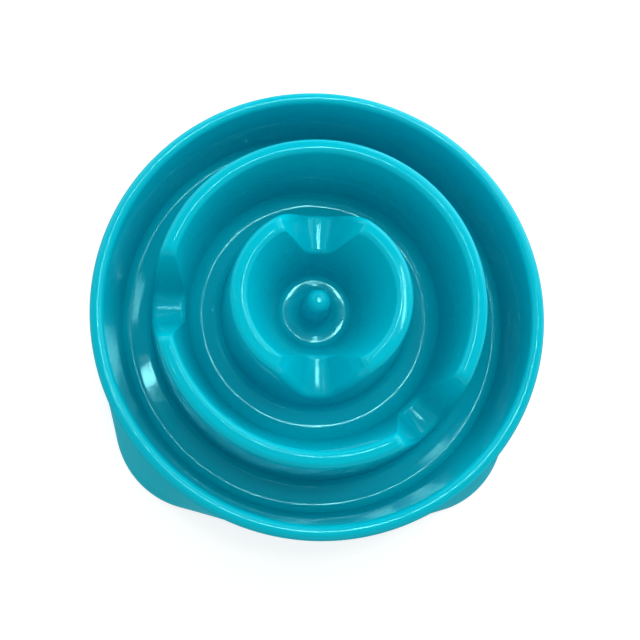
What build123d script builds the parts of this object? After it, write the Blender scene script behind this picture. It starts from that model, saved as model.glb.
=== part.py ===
"""Slow feeder bowl: one thin-walled moulded bowl standing on four push-in feet.

Millimetres, +Z up, origin on the ground under the middle of the bowl.
"""
from build123d import *
import math
import os

# Moulding
wall = 2.4
crest_height = 73.0

# Cup and nub
cup_floor_height = 8.0
cup_floor_radius = 25.6
cup_crease_round = 4.5
cup_wall_run = 22.2
nub_height = 40.0
nub_top_radius = 7.6
nub_top_round = 6.6
nub_foot_radius = 11.6
nub_foot_round = 8.0

# Inner ring ridge and channel
inner_crest_drop = 0.6
inner_crest_width = 10.0
inner_ring_outer_run = 10.7
inner_ring_foot_round = 6.0
inner_channel_height = 9.0
inner_channel_width = 20.5
inner_crease_round = 10.0

# Outer ring ridge and channel
outer_crest_width = 9.4
outer_ring_inner_run = 7.0
outer_ring_outer_run = 11.8
outer_ring_foot_round = 5.0
outer_channel_height = 9.0
outer_channel_width = 19.0
rim_crease_round = 5.5

# Rim
rim_wall_run = 1.1
lip_width = 8.7
lip_height = 65.2
lip_rise = 1.2
lip_inner_round = 3.8
lip_outer_round = 4.6

# Saddles, the lowered bridges in the ring ridges
outer_saddle_angles = (182.5, 313.5)
outer_saddle_depth = 46.0
outer_saddle_half_floor = 9.0
outer_saddle_half_mouth = 25.5
inner_saddle_angles = (90.0, 270.0)
inner_saddle_depth = 34.4
inner_saddle_half_floor = 8.8
inner_saddle_half_mouth = 25.0
saddle_floor_round = 10.0
crest_end_round = 8.0
ridge_round = 4.0

# Skirt
skirt_bottom = 1.5
skirt_drop = 6.4
side_draw_in = 4.5
lobe_overhang = 22.1
lobe_radius = 62.2
skirt_flare = 1.3
skirt_steps = 5
skirt_edge_chamfer = 0.8

# Feet and their sockets
foot_offset = 5.0
foot_radius = 11.0
foot_thickness = 4.0
foot_edge_round = 1.2
plug_radius = 3.9
plug_length = 10.0
plug_lead = 1.0
plug_clearance = 0.1
socket_wall = 3.0
socket_spare_depth = 2.0
gusset_thickness = 2.0
gusset_lift = 9.0

# Places that follow from the sizes above, worked out from the axis to the lip
nub_top_height = cup_floor_height + nub_height
outer_crest_height = crest_height
inner_crest_height = crest_height - inner_crest_drop
inner_crest_inner = cup_floor_radius + cup_wall_run
inner_crest_outer = inner_crest_inner + inner_crest_width
inner_channel_inner = inner_crest_outer + inner_ring_outer_run
inner_channel_outer = inner_channel_inner + inner_channel_width
outer_crest_inner = inner_channel_outer + outer_ring_inner_run
outer_crest_outer = outer_crest_inner + outer_crest_width
outer_channel_inner = outer_crest_outer + outer_ring_outer_run
outer_channel_outer = outer_channel_inner + outer_channel_width
lip_inner = outer_channel_outer + rim_wall_run
lip_radius = lip_inner + lip_width
lip_top = lip_height + lip_rise
skirt_top = lip_top - skirt_drop
outer_saddle_height = outer_crest_height - outer_saddle_depth
inner_saddle_height = inner_crest_height - inner_saddle_depth
base_half_width = lip_radius - side_draw_in
lobe_centre = (lip_radius + lobe_overhang - lobe_radius) / math.sqrt(2)
foot_reach = lip_radius + foot_offset

# Cutters reach this far past what they cut, and a corner under this round stays sharp
spare = 15.0
saw_top = crest_height + spare
least_round = 0.5


def unit(dx, dz):
    length = math.hypot(dx, dz)
    return dx / length, dz / length


def inset_corners(corners, inset):
    """The same corner list, moved below the visible surface by the inset."""
    lines = []
    for (x0, z0, _), (x1, z1, _) in zip(corners, corners[1:]):
        dx, dz = unit(x1 - x0, z1 - z0)
        lines.append((x0 + dz * inset, z0 - dx * inset, dx, dz))
    moved = [(lines[0][0], lines[0][1], 0.0)]
    for index in range(1, len(lines)):
        ax, az, adx, adz = lines[index - 1]
        bx, bz, bdx, bdz = lines[index]
        turn = adx * bdz - adz * bdx
        along = ((bx - ax) * bdz - (bz - az) * bdx) / turn
        radius = corners[index][2]
        if radius > 0:
            radius = radius + inset if turn > 0 else radius - inset
        moved.append((ax + adx * along, az + adz * along, radius))
    end_x, end_z, _ = corners[-1]
    _, _, dx, dz = lines[-1]
    moved.append((end_x + dz * inset, end_z - dx * inset, 0.0))
    return moved


def rounded_run(corners):
    """Edges through the corners in the XZ plane, each corner with its own round."""
    points = [Vector(x, 0, z) for x, z, _ in corners]
    edges = []
    start = points[0]
    for index in range(1, len(points) - 1):
        radius = corners[index][2]
        corner = points[index]
        if radius < least_round:
            edges.append(Edge.make_line(start, corner))
            start = corner
            continue
        back = (points[index - 1] - corner).normalized()
        ahead = (points[index + 1] - corner).normalized()
        half = math.acos(back.dot(ahead)) / 2
        cut = radius / math.tan(half)
        middle = corner + (back + ahead).normalized() * (radius / math.sin(half) - radius)
        edges.append(Edge.make_line(start, corner + back * cut))
        edges.append(Edge.make_three_point_arc(corner + back * cut, middle, corner + ahead * cut))
        start = corner + ahead * cut
    edges.append(Edge.make_line(start, points[-1]))
    return edges


top_corners = [
    (0.0, nub_top_height, 0.0),
    (nub_top_radius, nub_top_height, nub_top_round),
    (nub_foot_radius, cup_floor_height, nub_foot_round),
    (cup_floor_radius, cup_floor_height, cup_crease_round),
    (inner_crest_inner, inner_crest_height, 0.0),
    (inner_crest_outer, inner_crest_height, 0.0),
    (inner_channel_inner, inner_channel_height, inner_ring_foot_round),
    (inner_channel_outer, inner_channel_height, inner_crease_round),
    (outer_crest_inner, outer_crest_height, 0.0),
    (outer_crest_outer, outer_crest_height, 0.0),
    (outer_channel_inner, outer_channel_height, outer_ring_foot_round),
    (outer_channel_outer, outer_channel_height, rim_crease_round),
    (lip_inner, lip_height, lip_inner_round),
    (lip_radius, lip_top, lip_outer_round),
    (lip_radius, skirt_top, 0.0),
]


def space_above(inset):
    """Everything above the eating surface and round the lip, turned about the bowl axis."""
    edges = rounded_run(inset_corners(top_corners, inset))
    start, end = edges[0].position_at(0), edges[-1].position_at(1)
    around = [
        end,
        Vector(lip_radius + 2 * spare, 0, skirt_top),
        Vector(lip_radius + 2 * spare, 0, saw_top),
        Vector(0, 0, saw_top),
        start,
    ]
    for here, there in zip(around, around[1:]):
        edges.append(Edge.make_line(here, there))
    return revolve(Face(Wire(edges)), axis=Axis.Z)


def skirt_section(share, inset, height):
    """Outline of the skirt: round at share 0, four-lobed base at share 1."""
    corner = lip_radius + (lobe_radius - lip_radius) * share - inset
    side = lip_radius + (base_half_width - lip_radius) * share - inset
    run = base_half_width - lobe_radius
    sink = (2 * lobe_centre**2 - run**2) / (2 * run - 2 * lobe_centre)
    across, up = unit(lobe_centre, lobe_centre + sink)
    bow = side + sink * share
    side_start = Vector(-bow * across, bow * up - sink * share)
    side_end = Vector(bow * across, bow * up - sink * share)
    tip = lobe_centre * share + corner / math.sqrt(2)
    lobe_end = Vector(side_end.Y, side_end.X)
    side_arc = Edge.make_three_point_arc(side_start, Vector(0, side), side_end)
    lobe_arc = Edge.make_three_point_arc(side_end, Vector(tip, tip), lobe_end)
    edges = []
    for quarter in range(4):
        edges.append(side_arc.rotate(Axis.Z, -90.0 * quarter))
        edges.append(lobe_arc.rotate(Axis.Z, -90.0 * quarter))
    return Pos(0, 0, height) * Face(Wire(edges))


def skirt_stock(inset):
    """Solid inside of the skirt, from the base lobes up to the round under the lip."""
    sections = []
    for step in range(skirt_steps + 1):
        share = 1 - step / skirt_steps
        height = skirt_top + (skirt_bottom - skirt_top) * share
        sections.append(skirt_section(share**skirt_flare, inset, height))
    body = loft(sections)
    body = body + upright(lip_radius + spare, skirt_top, saw_top - 1.0)
    if inset:
        body = body + extrude(sections[0], amount=spare, dir=(0, 0, -1))
    return body


def saddle_saw(angle, radius, height, half_floor, half_mouth, mouth_height, inset):
    """Cutter for one lowered bridge across a ring ridge, along the radius at the angle."""
    slope = (half_mouth - half_floor) / (mouth_height - height)
    side_shift = inset * math.sqrt(1 + slope**2)
    floor = height - inset
    floor_half = half_floor + side_shift - inset * slope
    top_half = floor_half + slope * (saw_top - floor)
    left, right = (-floor_half, floor), (floor_half, floor)
    outline = Polyline((-top_half, saw_top), left, right, (top_half, saw_top), close=True)
    profile = fillet(make_face(outline).vertices().sort_by(Axis.Y)[:2], saddle_floor_round + inset)
    plane = Plane(origin=(radius[0], 0, 0), x_dir=(0, 1, 0), z_dir=(1, 0, 0))
    return Rot(0, 0, angle) * extrude(plane * profile, amount=radius[1] - radius[0], dir=(1, 0, 0))


def saddle_saws(inset):
    saws = []
    for angle in outer_saddle_angles:
        span = (inner_channel_outer, outer_channel_inner)
        sizes = (outer_saddle_height, outer_saddle_half_floor, outer_saddle_half_mouth)
        saws.append(saddle_saw(angle, span, *sizes, outer_crest_height, inset))
    for angle in inner_saddle_angles:
        span = (cup_floor_radius, inner_channel_inner)
        sizes = (inner_saddle_height, inner_saddle_half_floor, inner_saddle_half_mouth)
        saws.append(saddle_saw(angle, span, *sizes, inner_crest_height, inset))
    return saws


def reach_and_height(edge):
    points = [edge.position_at(share) for share in (0.0, 0.25, 0.5, 0.75, 1.0)]
    reach = [math.hypot(point.X, point.Y) for point in points]
    height = [point.Z for point in points]
    return reach, height


def envelope(inset):
    """Solid under the eating surface and inside the skirt, both moved in by the inset."""
    body = skirt_stock(inset) - space_above(inset)
    for saw in saddle_saws(inset):
        body = body - saw
    return body


def ridge_edges(body):
    """Edges of the two ring ridges, from the saddle floors up."""
    chosen = []
    for edge in body.edges():
        reach, height = reach_and_height(edge)
        inner = min(reach) > cup_floor_radius and max(reach) < inner_channel_inner
        inner = inner and min(height) > inner_saddle_height - 0.5
        outer = min(reach) > inner_channel_outer and max(reach) < outer_channel_inner
        outer = outer and min(height) > outer_saddle_height - 0.5
        if inner or outer:
            chosen.append(edge)
    return chosen


def soften_ridges(body):
    """Round the crest ends first, then the whole chain of crest and saddle edges."""
    ends = []
    for edge in ridge_edges(body):
        _, height = reach_and_height(edge)
        crest = min(inner_crest_height, outer_crest_height)
        if edge.geom_type == GeomType.LINE and min(height) > crest - 0.5:
            ends.append(edge)
    body = fillet(ends, crest_end_round)
    chain = []
    for edge in ridge_edges(body):
        reach, height = reach_and_height(edge)
        level = max(height) - min(height) < 0.5
        radial = max(reach) - min(reach) > 5.0
        if not (level and radial):
            chain.append(edge)
    return fillet(chain, ridge_round)


def foot_places():
    place = foot_reach / math.sqrt(2)
    return {
        "foot_front_left": (-place, -place),
        "foot_front_right": (place, -place),
        "foot_rear_left": (-place, place),
        "foot_rear_right": (place, place),
    }


def upright(radius, bottom, top):
    return Pos(0, 0, bottom) * Cylinder(radius, top - bottom, align=(Align.CENTER, Align.CENTER, Align.MIN))


def soften_base(body):
    low = [edge for edge in body.edges() if max(reach_and_height(edge)[1]) < skirt_bottom + 0.01]
    return chamfer(low, skirt_edge_chamfer)


def foot_post():
    """Socket for one foot plug, with the gusset that ties it to the rim wall."""
    bore = plug_radius + plug_clearance
    socket = upright(bore + socket_wall, foot_thickness, skirt_top)
    length = foot_reach - outer_channel_outer
    bottom = foot_thickness + gusset_lift
    gusset = Pos(-length / 2, 0, bottom) * Box(
        length, gusset_thickness, skirt_top - bottom, align=(Align.CENTER, Align.CENTER, Align.MIN)
    )
    return socket + gusset


def make_bowl():
    shell = soften_base(soften_ridges(envelope(0.0))) - envelope(wall)
    within = envelope(wall / 2)
    post = foot_post()
    bore_top = foot_thickness + plug_length + socket_spare_depth
    bore = upright(plug_radius + plug_clearance, foot_thickness - 1.0, bore_top)
    for x, y in foot_places().values():
        turn = math.degrees(math.atan2(y, x))
        shell = shell + ((Pos(x, y, 0) * (Rot(0, 0, turn) * post)) & within)
        shell = shell - Pos(x, y, 0) * bore
    return shell


def make_foot(x, y):
    pad = upright(foot_radius, 0.0, foot_thickness)
    pad = fillet(pad.edges().sort_by(Axis.Z)[:1], foot_edge_round)
    plug = upright(plug_radius, foot_thickness, foot_thickness + plug_length)
    plug = chamfer(plug.edges().sort_by(Axis.Z)[-1:], plug_lead)
    return Pos(x, y, 0) * (pad + plug)


def main():
    os.makedirs("parts", exist_ok=True)
    export_step(make_bowl(), "parts/bowl.step")
    for name, (x, y) in foot_places().items():
        export_step(make_foot(x, y), "parts/" + name + ".step")


if __name__ == "__main__":
    main()
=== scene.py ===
"""Slow feeder bowl: a glossy moulded bowl with two saddled rings, standing on four rubber feet."""
from bisect import bisect_right
import math

import bmesh
import bpy
from bpy.props import FloatProperty, FloatVectorProperty, PointerProperty
from bpy.types import Operator, Panel, PropertyGroup
from mathutils import Matrix, Quaternion, Vector


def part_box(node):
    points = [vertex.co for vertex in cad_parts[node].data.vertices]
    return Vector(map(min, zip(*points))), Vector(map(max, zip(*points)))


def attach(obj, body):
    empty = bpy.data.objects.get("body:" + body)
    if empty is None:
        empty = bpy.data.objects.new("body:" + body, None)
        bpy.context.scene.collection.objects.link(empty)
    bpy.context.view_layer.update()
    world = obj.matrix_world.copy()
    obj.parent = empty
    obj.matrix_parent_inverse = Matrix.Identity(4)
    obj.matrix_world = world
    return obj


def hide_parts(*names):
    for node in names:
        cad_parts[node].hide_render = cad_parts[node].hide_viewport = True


bl_info = {
    "name": "Slow Feeder Bowl",
    "version": (1, 0, 0),
    "blender": (4, 5, 0),
    "location": "3D View > Sidebar > Feeder",
    "description": "Models a moulded slow feeder bowl and its feet, with their finishes and a small studio",
    "category": "Object",
}

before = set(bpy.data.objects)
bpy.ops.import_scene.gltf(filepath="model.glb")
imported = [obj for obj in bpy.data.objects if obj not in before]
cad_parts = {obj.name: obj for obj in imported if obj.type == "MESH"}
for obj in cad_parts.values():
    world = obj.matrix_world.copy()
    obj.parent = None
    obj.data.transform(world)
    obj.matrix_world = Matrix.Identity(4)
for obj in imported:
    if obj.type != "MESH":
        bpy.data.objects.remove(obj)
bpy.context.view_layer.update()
bowl_low, bowl_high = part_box("bowl")
FEET = sorted(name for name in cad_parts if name.startswith("foot_"))


def metres(name, description, value):
    """A length property, with its default given in metres."""
    return FloatProperty(name=name, description=description, default=value, unit="LENGTH", precision=4)


def length(name, description, millimetres):
    """A length property, with its default given in millimetres."""
    return metres(name, description, millimetres / 1000)


def turn(name, description, degrees):
    """An angle property, with its default given in degrees."""
    return FloatProperty(name=name, description=description, default=math.radians(degrees), unit="ROTATION")


def colour(name, description, rgb):
    """A colour property in linear light."""
    return FloatVectorProperty(
        name=name, description=description, default=rgb, subtype="COLOR", size=3, min=0.0, max=1.0
    )


def share(name, description, value, top=1.0):
    """A plain number from 0 to its top."""
    return FloatProperty(name=name, description=description, default=value, min=0.0, max=top)


def watts(name, description, value):
    """The power of a lamp."""
    return FloatProperty(name=name, description=description, default=value, min=0.0, unit="POWER")


def shift(name, description, value):
    """A shift of the picture, in picture widths."""
    return FloatProperty(name=name, description=description, default=value)


class BowlSizes(PropertyGroup):
    """Sizes of the moulded bowl, from its axis out to the skirt"""

    wall: length("Wall", "Thickness of the moulded wall", 2.4)
    crest_height: metres("Crest height", "Height of the outer ring's crest", bowl_high.z)
    nub_top: length("Nub top", "Height of the nub in the cup", 48.0)
    nub_radius: length("Nub radius", "Radius of the nub near its top", 7.6)
    nub_round: length("Nub round", "Round over the nub's top", 6.6)
    nub_foot_radius: length("Nub foot radius", "Radius of the nub at the cup floor", 11.6)
    nub_foot_round: length("Nub foot round", "Round where the nub meets the cup floor", 8.0)
    cup_floor: length("Cup floor", "Height of the cup floor", 8.0)
    cup_radius: length("Cup radius", "Radius of the cup floor", 25.6)
    cup_crease: length("Cup crease", "Round between the cup floor and its wall", 4.5)
    cup_wall_run: length("Cup wall run", "Slope of the cup wall, measured outward", 22.2)
    inner_crest_drop: length("Inner crest drop", "How far the inner crest lies below the outer one", 0.6)
    inner_crest_width: length("Inner crest width", "Width of the inner ring's crest", 10.0)
    inner_ring_run: length("Inner ring run", "Slope of the inner ring's outer wall, measured outward", 10.7)
    inner_foot_round: length("Inner foot round", "Round at the inner ring's outer foot", 6.0)
    channel_floor: length("Channel floor", "Height of both channel floors", 9.0)
    inner_channel_width: length("Inner channel width", "Width of the inner channel's floor", 20.5)
    inner_crease: length("Inner crease", "Round at the outer edge of the inner channel", 10.0)
    outer_ring_inner_run: length("Outer ring inner run", "Slope of the outer ring's inner wall", 7.0)
    outer_crest_width: length("Outer crest width", "Width of the outer ring's crest", 9.4)
    outer_ring_outer_run: length("Outer ring outer run", "Slope of the outer ring's outer wall", 11.8)
    outer_foot_round: length("Outer foot round", "Round at the outer ring's outer foot", 5.0)
    outer_channel_width: length("Outer channel width", "Width of the outer channel's floor", 19.0)
    rim_crease: length("Rim crease", "Round between the outer channel and the rim wall", 5.5)
    rim_wall_run: length("Rim wall run", "Slope of the rim wall, measured outward", 1.1)
    lip_height: length("Lip height", "Height of the lip's inner edge", 65.2)
    lip_rise: length("Lip rise", "How far the lip climbs towards its outer edge", 1.2)
    lip_inner_round: length("Lip inner round", "Round on the lip's inner edge", 3.8)
    lip_outer_round: length("Lip outer round", "Round on the lip's outer edge", 4.6)
    lip_radius: metres("Lip radius", "Reach of the lip from the bowl's axis", bowl_high.x)
    ridge_round: length("Ridge round", "Round along both edges of the ring crests and saddles", 4.0)
    skirt_drop: length("Skirt drop", "How far below the lip's top the skirt starts to flare", 6.4)
    skirt_bottom: metres("Skirt bottom", "Height of the skirt's lower edge", bowl_low.z)
    skirt_edge: length("Skirt edge", "Round on the skirt's lower edge", 0.8)
    skirt_flare: share("Skirt flare", "How late the skirt swings out on its way down", 1.3, 4.0)
    side_draw_in: length("Side draw-in", "How far the base sides lie inside the lip", 4.5)
    lobe_overhang: length("Lobe overhang", "How far the base corners reach past the lip", 22.1)
    lobe_radius: length("Lobe radius", "Radius of the base corners, seen from above", 62.2)


class SaddleSizes(PropertyGroup):
    """Sizes of the lowered bridges in the two rings"""

    outer_first: turn("Outer first angle", "Place of the outer ring's first saddle", 182.5)
    outer_second: turn("Outer second angle", "Place of the outer ring's second saddle", 313.5)
    outer_depth: length("Outer depth", "Depth of the outer ring's saddles", 46.0)
    outer_half_floor: length("Outer half floor", "Half the floor length of an outer saddle", 9.0)
    outer_half_mouth: length("Outer half mouth", "Half the mouth length of an outer saddle", 25.5)
    inner_first: turn("Inner first angle", "Place of the inner ring's first saddle", 90.0)
    inner_second: turn("Inner second angle", "Place of the inner ring's second saddle", 270.0)
    inner_depth: length("Inner depth", "Depth of the inner ring's saddles", 34.4)
    inner_half_floor: length("Inner half floor", "Half the floor length of an inner saddle", 8.8)
    inner_half_mouth: length("Inner half mouth", "Half the mouth length of an inner saddle", 25.0)
    floor_round: length("Floor round", "Round at both ends of a saddle floor", 10.0)
    end_round: length("End round", "Round where a crest drops into a saddle", 8.0)


class FootSizes(PropertyGroup):
    """Sizes of the push-in feet and their sockets"""

    offset: length("Offset", "How far past the lip radius the feet stand, along the diagonals", 5.0)
    radius: length("Radius", "Radius of a foot's pad", 11.0)
    thickness: length("Thickness", "Thickness of a foot's pad", 4.0)
    edge_round: length("Edge round", "Round on the pad's lower edge", 1.2)
    top_round: length("Top round", "Round on the pad's upper edge", 0.4)
    plug_radius: length("Plug radius", "Radius of the plug above the pad", 3.9)
    plug_length: length("Plug length", "Length of the plug above the pad", 10.0)
    plug_lead: length("Plug lead", "Chamfer at the plug's tip", 1.0)
    socket_bore: length("Socket bore", "Radius of the hole that takes the plug", 4.0)
    socket_radius: length("Socket radius", "Outer radius of the socket post", 7.0)
    socket_spare: length("Socket spare", "Room above the plug's tip", 2.0)
    gusset_thickness: length("Gusset thickness", "Thickness of the web from a socket to the rim wall", 2.0)
    gusset_lift: length("Gusset lift", "How far the web starts above the pad", 9.0)


class Finishes(PropertyGroup):
    """Colours and gloss of the plastic and the rubber"""

    plastic: colour("Plastic", "Main colour of the moulding", (0.0, 0.50, 0.63))
    plastic_flow: colour("Plastic flow", "Colour of the faint flow marks", (0.0, 0.475, 0.605))
    plastic_sheen: colour("Plastic sheen", "Tint of reflections seen straight on", (0.3, 1.0, 1.0))
    polish: share("Polish", "Roughness of the polished eating side", 0.05)
    satin: share("Satin", "Roughness of the unpolished skirt and underside", 0.7)
    rubber: colour("Rubber", "Main colour of the feet", (0.018, 0.02, 0.022))
    rubber_bloom: colour("Rubber bloom", "Colour of the dusty bloom on the feet", (0.05, 0.054, 0.056))


class StudioSettings(PropertyGroup):
    """Camera, lights and floor"""

    camera_place: FloatVectorProperty(
        name="Camera place", description="Where the camera stands", default=(-0.0352, -0.0851, 0.4376),
        subtype="TRANSLATION", unit="LENGTH", size=3,
    )
    camera_tilt: turn("Camera tilt", "How far the camera leans from looking straight down", 15.69)
    camera_lean: turn("Camera lean", "Heading towards which the camera leans", 79.46)
    camera_roll: turn("Camera roll", "Turn of the picture's upright about the vertical", 1.5)
    lens: FloatProperty(
        name="Lens", description="Focal length for a 36 mm wide sensor", default=33.75, unit="CAMERA"
    )
    shift_x: shift("Shift across", "Sideways shift, in picture widths", 0.0359)
    shift_y: shift("Shift up", "Upward shift, in picture widths", -0.0839)
    floor: colour("Floor", "Colour of the floor", (0.5, 0.5, 0.5))
    floor_radius: length("Floor radius", "Reach of the floor from the bowl", 6000.0)
    floor_lift: share("Floor lift", "How much paler the floor looks than it is lit", 0.68)
    horizon: share("Horizon", "Strength of the even light near the horizon", 1.0, 10.0)
    zenith: share("Zenith", "Strength of the even light from overhead", 0.3, 10.0)
    right_power: watts("Right power", "Power of the soft light on the right", 2.8)
    left_power: watts("Left power", "Power of the soft light on the left", 1.05)
    front_power: watts("Front power", "Power of the soft light in front", 0.4)
    strip_height: length("Strip height", "Height of the small strips overhead", 1400.0)
    strip_glow: share("Strip glow", "Brightness of the strips in the highlights", 60.0, 1000.0)


# Steps round an arc and along the skirt, on the seen side and underneath
ARC_STEPS = 10
UNDER_ARC_STEPS = 3
SKIRT_STEPS = 12
UNDER_SKIRT_STEPS = 8
EDGE_STEPS = 4

# Steps round the turned pieces
POST_STEPS = 48
FOOT_STEPS = 72
FLOOR_STEPS = 128

# Steps of the two searches, for a crest corner in a saddle and for the skirt's height over a place
SETTLE_STEPS = 6
HALVINGS = 30

# The smallest round on a corner, and how near two points are merged
LEAST_ROUND = 0.0003
MERGE_DISTANCE = 1e-6

# The turn that is shaded as a crisp edge, and how near an outer saddle's middle the spokes stand closer
SHARP_TURN = math.radians(40)
NEAR_SADDLE = math.radians(18)

# Corners of the eating side's section: each ring's crest starts at one, and the rim wall runs between two
INNER_CREST = 4
OUTER_CREST = 8
RIM_FOOT = 11
RIM_TOP = 12

# The bowl's two finishes, in the order of its materials
POLISHED = 0
SATIN = 1

PLASTIC_IOR = 1.49
SENSOR_WIDTH = 36.0

# Least and most roughness over the flow marks, as shares of the finish's own
FLOW_SMOOTH = 0.8
FLOW_ROUGH = 1.25

# Stray hairlines: headings in degrees, tilt, stretch, the noise that starts and fills one, and depth
HAIRLINE_HEADINGS = (25.0, -50.0, 80.0)
HAIRLINE_TILT = (0.3, 0.2)
HAIRLINE_STRETCH = 25.0
HAIRLINE_START = 0.72
HAIRLINE_FULL = 0.8
HAIRLINE_DEPTH = -0.4

# How steeply a direction climbs where the even light starts to dim, and where it is dimmest
DIM_START = 0.2
DIM_END = 0.75

# Broad lights that face the bowl: place, side and the setting of their power
SOFT_LIGHTS = (
    ("right_light", (0.37, 0.4, 0.36), 0.6, "right_power"),
    ("left_light", (-0.38, 0.4, 0.36), 0.6, "left_power"),
    ("front_light", (-0.039, -0.448, 0.779), 0.8, "front_power"),
)

# Small strips overhead, which the polished rounds show as thin highlights: place, length, width and heading
STRIPS = (
    ("rear_strip", 0.114, 0.321, 0.16, 0.04, 0.0),
    ("front_strip", 0.134, 0.231, 0.12, 0.04, 0.0),
    ("long_strip", 0.118, 0.295, 0.5, 0.01, 90.0),
    ("left_strip", -0.317, 0.267, 0.1, 0.004, 0.0),
    ("corner_strip", 0.417, -0.033, 0.05, 0.008, -45.0),
    ("right_strip", 0.372, 0.3, 0.2, 0.012, 90.0),
    ("left_window", -0.375, 0.025, 0.15, 0.022, 90.0),
)


def offset_run(corners, inset):
    """The same corners, moved below the surface by the inset, with their rounds grown or shrunk to suit."""
    lines = []
    for (x0, z0, _), (x1, z1, _) in zip(corners, corners[1:]):
        along = Vector((x1 - x0, z1 - z0)).normalized()
        below = Vector((along.y, -along.x)) * inset
        lines.append((Vector((x0, z0)) + below, Vector((x1, z1)) + below, along))
    moved = [(*lines[0][0], 0.0)]
    for before, after, corner in zip(lines, lines[1:], corners[1:]):
        bend = before[2].cross(after[2])
        reach = (after[0] - before[0]).cross(after[2]) / bend
        place = before[0] + before[2] * reach
        change = inset if bend > 0 else -inset
        moved.append((*place, max(corner[2] + change, LEAST_ROUND)))
    moved.append((*lines[-1][1], 0.0))
    return moved


def rounded_run(corners, steps):
    """Points along the corners, where each corner between the ends is turned by an arc of its own round."""
    points = [Vector(corners[0][:2])]
    for before, corner, after in zip(corners, corners[1:], corners[2:]):
        here = Vector(corner[:2])
        back = (Vector(before[:2]) - here).normalized()
        ahead = (Vector(after[:2]) - here).normalized()
        half = back.angle(ahead) / 2
        centre = here + (back + ahead).normalized() * corner[2] / math.sin(half)
        start = here + back * corner[2] / math.tan(half) - centre
        end = here + ahead * corner[2] / math.tan(half) - centre
        points += [centre + start.slerp(end, step / steps) * corner[2] for step in range(steps + 1)]
    points.append(Vector(corners[-1][:2]))
    return points


def height_along(run, across):
    """Height of a run of points at a distance across it."""
    index = min(max(bisect_right(run, across, key=lambda point: point.x), 1), len(run) - 1)
    low, high = run[index - 1], run[index]
    part = min(max((across - low.x) / (high.x - low.x), 0.0), 1.0)
    return low.y + (high.y - low.y) * part


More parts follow.
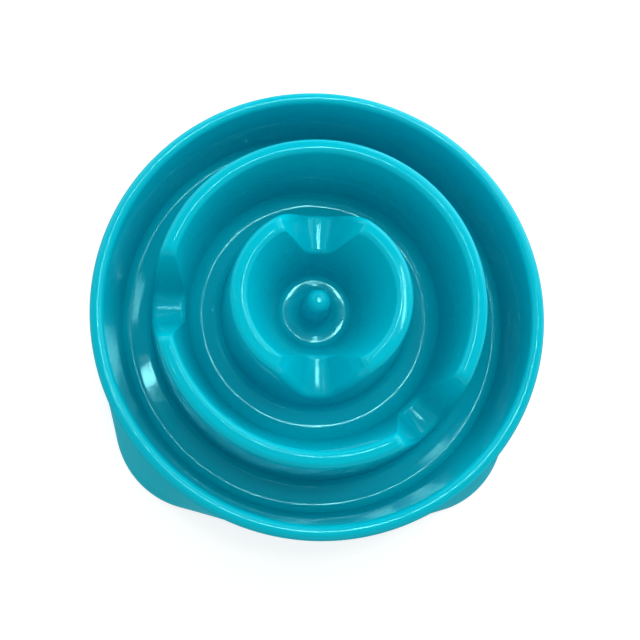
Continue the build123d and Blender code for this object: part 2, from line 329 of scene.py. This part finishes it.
class Moulding:
    """The bowl's surface, seen side or underside, as heights and reaches at any angle about its axis"""

    def __init__(self, sizes, saddles, inset):
        self.sizes, self.inset = sizes, inset
        self.lip_top = sizes.lip_height + sizes.lip_rise
        self.skirt_top = self.lip_top - sizes.skirt_drop
        inner_crest = sizes.crest_height - sizes.inner_crest_drop
        self.corners = offset_run(self.eating_corners(inner_crest), inset)
        outer = (saddles.outer_depth, saddles.outer_half_floor, saddles.outer_half_mouth)
        inner = (saddles.inner_depth, saddles.inner_half_floor, saddles.inner_half_mouth)
        inner_run = self.saddle_run(saddles, inner_crest, *inner)
        outer_run = self.saddle_run(saddles, sizes.crest_height, *outer)
        self.rings = (
            (INNER_CREST, (saddles.inner_first, saddles.inner_second), inner_run),
            (OUTER_CREST, (saddles.outer_first, saddles.outer_second), outer_run),
        )

    def eating_corners(self, inner_crest):
        """Corners of the turned section: reach, height and round of each, from the nub out to the lip."""
        sizes = self.sizes
        cup_wall_top = sizes.cup_radius + sizes.cup_wall_run
        inner_wall_top = cup_wall_top + sizes.inner_crest_width
        inner_foot = inner_wall_top + sizes.inner_ring_run
        inner_edge = inner_foot + sizes.inner_channel_width
        outer_wall_top = inner_edge + sizes.outer_ring_inner_run
        outer_crest_edge = outer_wall_top + sizes.outer_crest_width
        outer_foot = outer_crest_edge + sizes.outer_ring_outer_run
        outer_edge = outer_foot + sizes.outer_channel_width
        return [
            (0.0, sizes.nub_top, 0.0),
            (sizes.nub_radius, sizes.nub_top, sizes.nub_round),
            (sizes.nub_foot_radius, sizes.cup_floor, sizes.nub_foot_round),
            (sizes.cup_radius, sizes.cup_floor, sizes.cup_crease),
            (cup_wall_top, inner_crest, sizes.ridge_round),
            (inner_wall_top, inner_crest, sizes.ridge_round),
            (inner_foot, sizes.channel_floor, sizes.inner_foot_round),
            (inner_edge, sizes.channel_floor, sizes.inner_crease),
            (outer_wall_top, sizes.crest_height, sizes.ridge_round),
            (outer_crest_edge, sizes.crest_height, sizes.ridge_round),
            (outer_foot, sizes.channel_floor, sizes.outer_foot_round),
            (outer_edge, sizes.channel_floor, sizes.rim_crease),
            (outer_edge + sizes.rim_wall_run, sizes.lip_height, sizes.lip_inner_round),
            (sizes.lip_radius, self.lip_top, sizes.lip_outer_round),
            (sizes.lip_radius, self.skirt_top, 0.0),
        ]

    def saddle_run(self, saddles, crest, depth, half_floor, half_mouth):
        """Height of a ring's crest against the distance from the middle of a saddle."""
        corners = [
            (0.0, crest - depth, 0.0),
            (half_floor, crest - depth, saddles.floor_round),
            (half_mouth, crest, saddles.end_round),
            (self.sizes.lip_radius, crest, 0.0),
        ]
        return rounded_run(offset_run(corners, self.inset), ARC_STEPS)

    def section(self, angle, steps):
        """Points of the eating surface at the angle, with the crests lowered in the saddles."""
        corners = list(self.corners)
        for crest, saddle_angles, run in self.rings:
            for saddle_angle in saddle_angles:
                away = angle - saddle_angle
                if math.cos(away) <= 0:
                    continue
                for corner, foot in ((crest, crest - 1), (crest + 1, crest + 2)):
                    corners[corner] = self.lowered(corners[corner], corners[foot], math.sin(away), run)
        return rounded_run(corners, steps)

    def lowered(self, corner, foot, sine, run):
        """A crest corner slid down its wall to the saddle's height there."""
        reach, height, corner_round = corner
        slope = (foot[0] - reach) / (foot[1] - height)
        place, level = reach, height
        for _ in range(SETTLE_STEPS):
            level = min(height, height_along(run, abs(place * sine)))
            place = reach + slope * (level - height)
        return place, level, corner_round

    def outline(self, angle, spread):
        """Reach of the skirt at the angle: round at spread 0, the four-lobed base at spread 1."""
        sizes = self.sizes
        base_side = sizes.lip_radius - sizes.side_draw_in
        lobe_centre = (sizes.lip_radius + sizes.lobe_overhang - sizes.lobe_radius) / math.sqrt(2)
        run = base_side - sizes.lobe_radius
        sink = (2 * lobe_centre**2 - run**2) / (2 * run - 2 * lobe_centre)
        side = sizes.lip_radius + (base_side - sizes.lip_radius) * spread - self.inset
        lobe = sizes.lip_radius + (sizes.lobe_radius - sizes.lip_radius) * spread - self.inset
        bow = side + sink * spread
        off_side = abs((angle + math.pi / 4) % (math.pi / 2) - math.pi / 4)
        heading = math.atan2(lobe_centre, lobe_centre + sink)
        meeting = math.atan2(bow * math.sin(heading), bow * math.cos(heading) - sink * spread)
        if off_side < meeting:
            depth = sink * spread
            return math.sqrt(bow**2 - (depth * math.sin(off_side)) ** 2) - depth * math.cos(off_side)
        far = lobe_centre * spread * math.sqrt(2)
        off_lobe = math.pi / 4 - off_side
        return far * math.cos(off_lobe) + math.sqrt(lobe**2 - (far * math.sin(off_lobe)) ** 2)

    def skirt(self, angle, steps, bottom):
        """Points down the skirt at the angle, below the lip and as far as the bottom."""
        points = []
        for step in range(1, steps + 1):
            height = self.skirt_top + (bottom - self.skirt_top) * step / steps
            points.append(Vector((self.outline(angle, self.spread(height)), height)))
        return points

    def spread(self, height):
        """How far the skirt has swung out at a height."""
        drop = (self.skirt_top - height) / (self.skirt_top - self.sizes.skirt_bottom)
        return max(drop, 0.0) ** self.sizes.skirt_flare

    def height_over(self, heading, x, y):
        """Height of the skirt over a place on the floor, turned by the heading; found by halving."""
        reach, angle = math.hypot(x, y), heading + math.atan2(y, x)
        low, high = self.sizes.skirt_bottom, self.skirt_top
        for _ in range(HALVINGS):
            middle = (low + high) / 2
            if self.outline(angle, self.spread(middle)) > reach:
                low = middle
            else:
                high = middle
        return low


def spoke_angles(saddles):
    """Angles about the axis, one degree apart and half a degree apart along the outer ring's saddles."""
    angles = []
    for degree in range(360):
        angle = math.radians(degree)
        angles.append(angle)
        offs = [math.remainder(angle - at, math.tau) for at in (saddles.outer_first, saddles.outer_second)]
        if min(map(abs, offs)) < NEAR_SADDLE:
            angles.append(angle + math.radians(0.5))
    return angles


def bowl_spoke(seen, under, angle):
    """The closed section at one angle, from the nub's top over the lip and back underneath."""
    edge, bottom = seen.sizes.skirt_edge, seen.sizes.skirt_bottom
    points = seen.section(angle, ARC_STEPS) + seen.skirt(angle, SKIRT_STEPS, bottom + edge)
    reach = points[-1].x
    for step in range(1, EDGE_STEPS + 1):
        around = math.pi / 2 * step / EDGE_STEPS
        inward, above = edge * (1 - math.cos(around)), edge * (1 - math.sin(around))
        points.append(Vector((reach - inward, bottom + above)))
    return points + under_spoke(under, angle)


def under_spoke(under, angle):
    """The section's hidden side at one angle, from the skirt's edge up and in to the axis."""
    points = under.section(angle, UNDER_ARC_STEPS)
    points += under.skirt(angle, UNDER_SKIRT_STEPS, under.sizes.skirt_bottom)
    return points[::-1]


def spun(points, steps, place=(0.0, 0.0)):
    """A bmesh of the points spun about the vertical through a place, with each row kept in a layer."""
    bm = bmesh.new()
    row = bm.verts.layers.int.new("row")
    verts = []
    for index, point in enumerate(points):
        vert = bm.verts.new((place[0] + point[0], place[1], point[1]))
        vert[row] = index
        verts.append(vert)
    edges = [bm.edges.new(pair) for pair in zip(verts, verts[1:])]
    bmesh.ops.spin(
        bm, geom=verts + edges, cent=(*place, 0.0), axis=(0.0, 0.0, 1.0),
        angle=math.tau, steps=steps, use_merge=True,
    )
    return bm, row


def closed(bm, name):
    """Merges seams and poles, turns the faces outwards and stops if the shape isn't closed."""
    bmesh.ops.remove_doubles(bm, verts=bm.verts, dist=MERGE_DISTANCE)
    bmesh.ops.recalc_face_normals(bm, faces=bm.faces)
    if not all(edge.is_manifold for edge in bm.edges):
        raise RuntimeError(name + " isn't a closed shape")


def shade(bm):
    """Smooth faces with crisp edges where the surface really turns."""
    for face in bm.faces:
        face.smooth = True
    for edge in bm.edges:
        edge.smooth = edge.calc_face_angle(0.0) < SHARP_TURN


def piece(bm, name, materials):
    """A new object of the mesh, at the origin, shown in the scene."""
    mesh = bpy.data.meshes.new(name)
    bm.to_mesh(mesh)
    bm.free()
    for material in materials:
        mesh.materials.append(material)
    obj = bpy.data.objects.new(name, mesh)
    bpy.context.scene.collection.objects.link(obj)
    return obj


def even_shading(obj):
    """Lets the large faces set the normals, so that flats stay flat beside their rounds."""
    modifier = obj.modifiers.new("even_shading", "WEIGHTED_NORMAL")
    modifier.mode = "FACE_AREA"
    modifier.keep_sharp = True


def add_node(tree, kind, name, **inputs):
    """A node with its name and some of its inputs set, where an underscore stands for a blank."""
    node = tree.nodes.new(kind)
    node.name = node.label = name
    for key, value in inputs.items():
        node.inputs[key.replace("_", " ")].default_value = value
    return node


def join(tree, output, target):
    """Links a node's output to an input."""
    tree.links.new(output, target)


def moulded_skin():
    """Node group of what a mould leaves on a surface: broad flow marks, fine peel and stray hairlines."""
    found = bpy.data.node_groups.get("moulded_skin")
    if found:
        return found
    group = bpy.data.node_groups.new("moulded_skin", "ShaderNodeTree")
    group.interface.new_socket("Vector", in_out="INPUT", socket_type="NodeSocketVector")
    for name in ("Flow Scale", "Peel Scale", "Hairline Scale"):
        group.interface.new_socket(name, in_out="INPUT", socket_type="NodeSocketFloat")
    for name in ("Flow", "Peel", "Hairlines"):
        group.interface.new_socket(name, in_out="OUTPUT", socket_type="NodeSocketFloat")
    start = group.nodes.new("NodeGroupInput")
    end = group.nodes.new("NodeGroupOutput")
    flow = add_node(group, "ShaderNodeTexNoise", "flow", Detail=2.0, Roughness=0.5)
    peel = add_node(group, "ShaderNodeTexNoise", "peel", Detail=1.0, Roughness=0.4)
    for node, scale in ((flow, "Flow Scale"), (peel, "Peel Scale")):
        join(group, start.outputs["Vector"], node.inputs["Vector"])
        join(group, start.outputs[scale], node.inputs["Scale"])
    join(group, flow.outputs["Fac"], end.inputs["Flow"])
    join(group, peel.outputs["Fac"], end.inputs["Peel"])
    masks = []
    for index, heading in enumerate(HAIRLINE_HEADINGS):
        turned = add_node(
            group, "ShaderNodeMapping", f"hairline_turn_{index}",
            Rotation=(*HAIRLINE_TILT, math.radians(heading)), Scale=(1 / HAIRLINE_STRETCH, 1.0, 1.0),
        )
        streak = add_node(group, "ShaderNodeTexNoise", f"hairline_{index}", Detail=0.0)
        pick = add_node(
            group, "ShaderNodeMapRange", f"hairline_pick_{index}",
            From_Min=HAIRLINE_START, From_Max=HAIRLINE_FULL,
        )
        join(group, start.outputs["Vector"], turned.inputs["Vector"])
        join(group, turned.outputs["Vector"], streak.inputs["Vector"])
        join(group, start.outputs["Hairline Scale"], streak.inputs["Scale"])
        join(group, streak.outputs["Fac"], pick.inputs["Value"])
        masks.append(pick.outputs["Result"])
    total = masks[0]
    for mask in masks[1:]:
        total = blended(group, "MAXIMUM", total, mask)
    join(group, total, end.inputs["Hairlines"])
    return group


def new_material(name):
    """An empty material: its node tree, its Principled BSDF and its object coordinates."""
    material = bpy.data.materials.new(name)
    material.use_nodes = True
    tree = material.node_tree
    shader = tree.nodes.get("Principled BSDF")
    if shader is None:
        raise RuntimeError(name + " has no Principled BSDF")
    place = tree.nodes.new("ShaderNodeTexCoord")
    return material, tree, shader, place.outputs["Object"]


def mixed_colour(tree, factor, low, high):
    """A colour that runs from low to high with the factor."""
    mix = tree.nodes.new("ShaderNodeMix")
    mix.data_type = "RGBA"
    mix.inputs["A"].default_value = (*low, 1.0)
    mix.inputs["B"].default_value = (*high, 1.0)
    join(tree, factor, mix.inputs["Factor"])
    return mix.outputs["Result"]


def spread_value(tree, value, low, high):
    """The value, taken from 0 to 1, spread between low and high."""
    spread = tree.nodes.new("ShaderNodeMapRange")
    spread.inputs["To Min"].default_value = low
    spread.inputs["To Max"].default_value = high
    join(tree, value, spread.inputs["Value"])
    return spread.outputs["Result"]


def blended(tree, operation, first, second):
    """Two values joined by a sum, a product or the like."""
    node = tree.nodes.new("ShaderNodeMath")
    node.operation = operation
    for socket, value in zip(node.inputs, (first, second)):
        if isinstance(value, float):
            socket.default_value = value
        else:
            join(tree, value, socket)
    return node.outputs["Value"]


def bumped(tree, shader, height, distance, strength):
    """A bump of the height on the shader's normal."""
    bump = add_node(tree, "ShaderNodeBump", "bump", Strength=strength, Distance=distance)
    join(tree, height, bump.inputs["Height"])
    join(tree, bump.outputs["Normal"], shader.inputs["Normal"])


def add_skin(tree, place, **scales):
    """A node of the moulded skin at the places given, with its scales set."""
    skin = tree.nodes.new("ShaderNodeGroup")
    skin.node_tree = moulded_skin()
    join(tree, place, skin.inputs["Vector"])
    for key, value in scales.items():
        skin.inputs[key.replace("_", " ")].default_value = value
    return skin


def plastic(finish, name, roughness, shine, peel_scale, peel_depth, hairline_wear):
    """Coloured moulded plastic, polished or satin by its roughness."""
    material, tree, shader, place = new_material(name)
    skin = add_skin(tree, place, Flow_Scale=14.0, Peel_Scale=peel_scale, Hairline_Scale=900.0)
    tone = mixed_colour(tree, skin.outputs["Flow"], finish.plastic, finish.plastic_flow)
    join(tree, tone, shader.inputs["Base Color"])
    even = spread_value(tree, skin.outputs["Flow"], roughness * FLOW_SMOOTH, roughness * FLOW_ROUGH)
    wear = blended(tree, "MULTIPLY", skin.outputs["Hairlines"], hairline_wear)
    join(tree, blended(tree, "ADD", even, wear), shader.inputs["Roughness"])
    lines = blended(tree, "MULTIPLY", skin.outputs["Hairlines"], HAIRLINE_DEPTH)
    bumped(tree, shader, blended(tree, "ADD", skin.outputs["Peel"], lines), peel_depth, strength=0.5)
    shader.inputs["IOR"].default_value = PLASTIC_IOR
    shader.inputs["Specular IOR Level"].default_value = shine
    shader.inputs["Specular Tint"].default_value = (*finish.plastic_sheen, 1.0)
    return material


def rubber(finish, name):
    """Matt moulded rubber with a fine grain and a dusty bloom."""
    material, tree, shader, place = new_material(name)
    skin = add_skin(tree, place, Flow_Scale=120.0, Peel_Scale=1500.0)
    tone = mixed_colour(tree, skin.outputs["Flow"], finish.rubber, finish.rubber_bloom)
    join(tree, tone, shader.inputs["Base Color"])
    join(tree, spread_value(tree, skin.outputs["Peel"], low=0.62, high=0.82), shader.inputs["Roughness"])
    bumped(tree, shader, skin.outputs["Peel"], distance=0.0002, strength=0.6)
    return material


def socket_posts(bm, sizes, feet, wall_middle):
    """Adds four posts that take the feet's plugs, each tied to the rim wall by a web."""
    reach = sizes.lip_radius + feet.offset
    bore_top = feet.thickness + feet.plug_length + feet.socket_spare
    profile = [
        (0.0, bore_top),
        (feet.socket_bore, bore_top),
        (feet.socket_bore, feet.thickness),
        (feet.socket_radius, feet.thickness),
        (feet.socket_radius, wall_middle.skirt_top),
        (0.0, wall_middle.skirt_top),
    ]
    for corner in range(4):
        post, row = spun(profile, POST_STEPS)
        bmesh.ops.translate(post, verts=post.verts, vec=(reach, 0.0, 0.0))
        heading = math.pi / 2 * corner + math.pi / 4
        for vert in post.verts:
            if vert[row] >= len(profile) - 2:
                vert.co.z = wall_middle.height_over(heading, *vert.co.xy)
        closed(post, "socket post")
        add_turned(bm, post, heading)
        add_turned(bm, web_plate(feet, wall_middle, reach), heading)


def web_plate(feet, wall_middle, reach):
    """The web on the X axis, from the rim wall out to the middle of its post and up into the skirt."""
    low, high = feet.thickness + feet.gusset_lift, wall_middle.skirt_top
    rim_foot, rim_top = wall_middle.corners[RIM_FOOT], wall_middle.corners[RIM_TOP]
    slope = (rim_top[0] - rim_foot[0]) / (rim_top[1] - rim_foot[1])
    outline = [
        (rim_foot[0] + slope * (low - rim_foot[1]), low),
        (reach, low),
        (reach, wall_middle.height_over(math.pi / 4, reach, 0.0)),
        (wall_middle.corners[-1][0], high),
        (rim_foot[0] + slope * (high - rim_foot[1]), high),
    ]
    web = bmesh.new()
    half = feet.gusset_thickness / 2
    face = web.faces.new([web.verts.new((x, -half, z)) for x, z in outline])
    other = bmesh.ops.extrude_face_region(web, geom=[face], use_keep_orig=True)["geom"]
    moved = [item for item in other if isinstance(item, bmesh.types.BMVert)]
    bmesh.ops.translate(web, verts=moved, vec=(0.0, 2 * half, 0.0))
    closed(web, "web")
    return web


def add_turned(bm, part, heading):
    """Adds a part's mesh to another, turned about the bowl's axis, and frees it."""
    bmesh.ops.transform(part, matrix=Matrix.Rotation(heading, 4, "Z"), verts=part.verts)
    for face in part.faces:
        face.material_index = SATIN
    mesh = bpy.data.meshes.new("part")
    part.to_mesh(mesh)
    part.free()
    bm.from_mesh(mesh)
    bpy.data.meshes.remove(mesh)


class FEEDER_OT_bowl(Operator):
    """Model the bowl as one moulding, with its saddled rings, lobed skirt and foot sockets"""

    bl_idname = "feeder.bowl"
    bl_label = "Bowl"

    def execute(self, context):
        scene = context.scene
        sizes, saddles = scene.feeder_bowl, scene.feeder_saddles
        seen, under = Moulding(sizes, saddles, 0.0), Moulding(sizes, saddles, sizes.wall)
        angles = spoke_angles(saddles)
        spokes = [bowl_spoke(seen, under, angle) for angle in angles]
        rows = len(spokes[0])
        # The polish ends halfway round the lip's outer edge
        parting = len(seen.section(0.0, ARC_STEPS)) - 2 - ARC_STEPS // 2
        bm = bmesh.new()
        bmesh.ops.create_grid(bm, x_segments=rows - 1, y_segments=len(angles))
        bm.verts.index_update()
        for vert in bm.verts:
            spoke, row = divmod(vert.index, rows)
            spoke %= len(angles)
            reach, height = spokes[spoke][row]
            vert.co = (reach * math.cos(angles[spoke]), reach * math.sin(angles[spoke]), height)
        for face in bm.faces:
            last = max(vert.index % rows for vert in face.verts)
            face.material_index = SATIN if last > parting else POLISHED
        closed(bm, "bowl")
        socket_posts(bm, sizes, scene.feeder_feet, Moulding(sizes, saddles, sizes.wall / 2))
        shade(bm)
        finish = scene.feeder_finishes
        materials = (
            plastic(
                finish, "polished_plastic", finish.polish,
                shine=0.25, peel_scale=190.0, peel_depth=0.00002, hairline_wear=0.10,
            ),
            plastic(
                finish, "satin_plastic", finish.satin,
                shine=0.15, peel_scale=420.0, peel_depth=0.0003, hairline_wear=0.05,
            ),
        )
        bowl = piece(bm, "moulded_bowl", materials)
        even_shading(bowl)
        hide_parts("bowl")
        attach(bowl, "root")
        return {"FINISHED"}


class FEEDER_OT_feet(Operator):
    """Model the four rubber feet, each a round pad with a plug"""

    bl_idname = "feeder.feet"
    bl_label = "Feet"

    def execute(self, context):
        feet = context.scene.feeder_feet
        top = feet.thickness + feet.plug_length
        corners = [
            (0.0, 0.0, 0.0),
            (feet.radius, 0.0, feet.edge_round),
            (feet.radius, feet.thickness, feet.top_round),
            (feet.plug_radius, feet.thickness, feet.top_round),
            (feet.plug_radius, top - feet.plug_lead, LEAST_ROUND),
            (feet.plug_radius - feet.plug_lead, top, LEAST_ROUND),
            (0.0, top, 0.0),
        ]
        profile = rounded_run(corners, ARC_STEPS)
        material = rubber(context.scene.feeder_finishes, "foot_rubber")
        for node in FEET:
            low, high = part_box(node)
            bm, _ = spun(profile, FOOT_STEPS, ((low + high) / 2).xy)
            closed(bm, node)
            shade(bm)
            foot = piece(bm, "rubber_" + node, (material,))
            even_shading(foot)
            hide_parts(node)
            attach(foot, "root")
        return {"FINISHED"}


def soft_light(name, place, size, power, heading=None):
    """A rectangular soft light that faces the bowl, or straight down where it has a heading."""
    lamp = bpy.data.lights.new(name, "AREA")
    lamp.shape = "RECTANGLE"
    lamp.size, lamp.size_y = size
    lamp.energy = power
    obj = bpy.data.objects.new(name, lamp)
    obj.location = place
    if heading is None:
        obj.rotation_euler = (-Vector(place)).to_track_quat("-Z", "Y").to_euler()
    else:
        obj.rotation_euler.z = heading
    bpy.context.scene.collection.objects.link(obj)


def seen_directly(tree):
    """1 where the camera, a reflection or a view through glass sees the surface, and otherwise 0."""
    path = tree.nodes.new("ShaderNodeLightPath")
    glossy = blended(tree, "MAXIMUM", path.outputs["Is Glossy Ray"], path.outputs["Is Transmission Ray"])
    return blended(tree, "MAXIMUM", path.outputs["Is Camera Ray"], glossy)


class FEEDER_OT_stage(Operator):
    """Set the floor, the soft lights and the camera"""

    bl_idname = "feeder.stage"
    bl_label = "Stage"

    def execute(self, context):
        scene, studio = context.scene, context.scene.feeder_studio
        self.floor(studio)
        for name, place, side, power in SOFT_LIGHTS:
            soft_light(name, place, (side, side), getattr(studio, power))
        for name, x, y, long, wide, heading in STRIPS:
            power = studio.strip_glow * math.pi * long * wide
            soft_light(name, (x, y, studio.strip_height), (long, wide), power, math.radians(heading))
        self.world(scene, studio)
        self.camera(scene, studio)
        scene.view_settings.view_transform = "Standard"
        return {"FINISHED"}

    def floor(self, studio):
        """A wide pale floor, which the camera sees nearly white and with the bowl's shadow."""
        bm = bmesh.new()
        bmesh.ops.create_circle(bm, cap_ends=True, segments=FLOOR_STEPS, radius=studio.floor_radius)
        material, tree, shader, _ = new_material("pale_floor")
        shader.inputs["Base Color"].default_value = (*studio.floor, 1.0)
        shader.inputs["Roughness"].default_value = 0.9
        shader.inputs["Specular IOR Level"].default_value = 0.0
        shader.inputs["Emission Color"].default_value = (1.0, 1.0, 1.0, 1.0)
        lift = blended(tree, "MULTIPLY", seen_directly(tree), studio.floor_lift)
        join(tree, lift, shader.inputs["Emission Strength"])
        piece(bm, "floor", (material,))

    def world(self, scene, studio):
        """Even light from all round, white at the horizon and dimmer overhead."""
        world = bpy.data.worlds.new("studio")
        world.use_nodes = True
        tree = world.node_tree
        background = tree.nodes["Background"]
        background.inputs["Color"].default_value = (1.0, 1.0, 1.0, 1.0)
        split = tree.nodes.new("ShaderNodeSeparateXYZ")
        join(tree, tree.nodes.new("ShaderNodeTexCoord").outputs["Generated"], split.inputs["Vector"])
        fade = add_node(
            tree, "ShaderNodeMapRange", "fade",
            From_Min=DIM_START, From_Max=DIM_END, To_Min=studio.horizon, To_Max=studio.zenith,
        )
        join(tree, split.outputs["Z"], fade.inputs["Value"])
        join(tree, fade.outputs["Result"], background.inputs["Strength"])
        scene.world = world

    def camera(self, scene, studio):
        """The photograph's view: nearly straight down, leaning towards the rear of the bowl."""
        data = bpy.data.cameras.new("camera")
        data.sensor_width = SENSOR_WIDTH
        data.lens = studio.lens
        data.shift_x, data.shift_y = studio.shift_x, studio.shift_y
        data.clip_start = 0.01
        camera = bpy.data.objects.new("camera", data)
        axis = (math.sin(studio.camera_lean), -math.cos(studio.camera_lean), 0.0)
        upright = Quaternion((0.0, 0.0, 1.0), studio.camera_roll)
        camera.rotation_mode = "QUATERNION"
        camera.rotation_quaternion = Quaternion(axis, studio.camera_tilt) @ upright
        camera.location = studio.camera_place
        scene.collection.objects.link(camera)
        scene.camera = camera


class FEEDER_PT_parts(Panel):
    """Buttons for the bowl, its feet and the stage"""

    bl_idname = "FEEDER_PT_parts"
    bl_label = "Slow Feeder Bowl"
    bl_space_type = "VIEW_3D"
    bl_region_type = "UI"
    bl_category = "Feeder"

    def draw(self, context):
        for operator in (FEEDER_OT_bowl, FEEDER_OT_feet, FEEDER_OT_stage):
            self.layout.operator(operator.bl_idname)


GROUPS = {
    "feeder_bowl": BowlSizes,
    "feeder_saddles": SaddleSizes,
    "feeder_feet": FootSizes,
    "feeder_finishes": Finishes,
    "feeder_studio": StudioSettings,
}
CLASSES = (*GROUPS.values(), FEEDER_OT_bowl, FEEDER_OT_feet, FEEDER_OT_stage, FEEDER_PT_parts)


def register():
    """Adds the settings, the operators and the panel."""
    for made in CLASSES:
        bpy.utils.register_class(made)
    for name, group in GROUPS.items():
        setattr(bpy.types.Scene, name, PointerProperty(type=group))


def unregister():
    """Takes the settings, the operators and the panel away again."""
    for name in GROUPS:
        delattr(bpy.types.Scene, name)
    for made in reversed(CLASSES):
        bpy.utils.unregister_class(made)


def main():
    """Models the bowl, its feet and the stage."""
    register()
    bpy.ops.feeder.bowl()
    bpy.ops.feeder.feet()
    bpy.ops.feeder.stage()


if __name__ == "__main__":
    main()
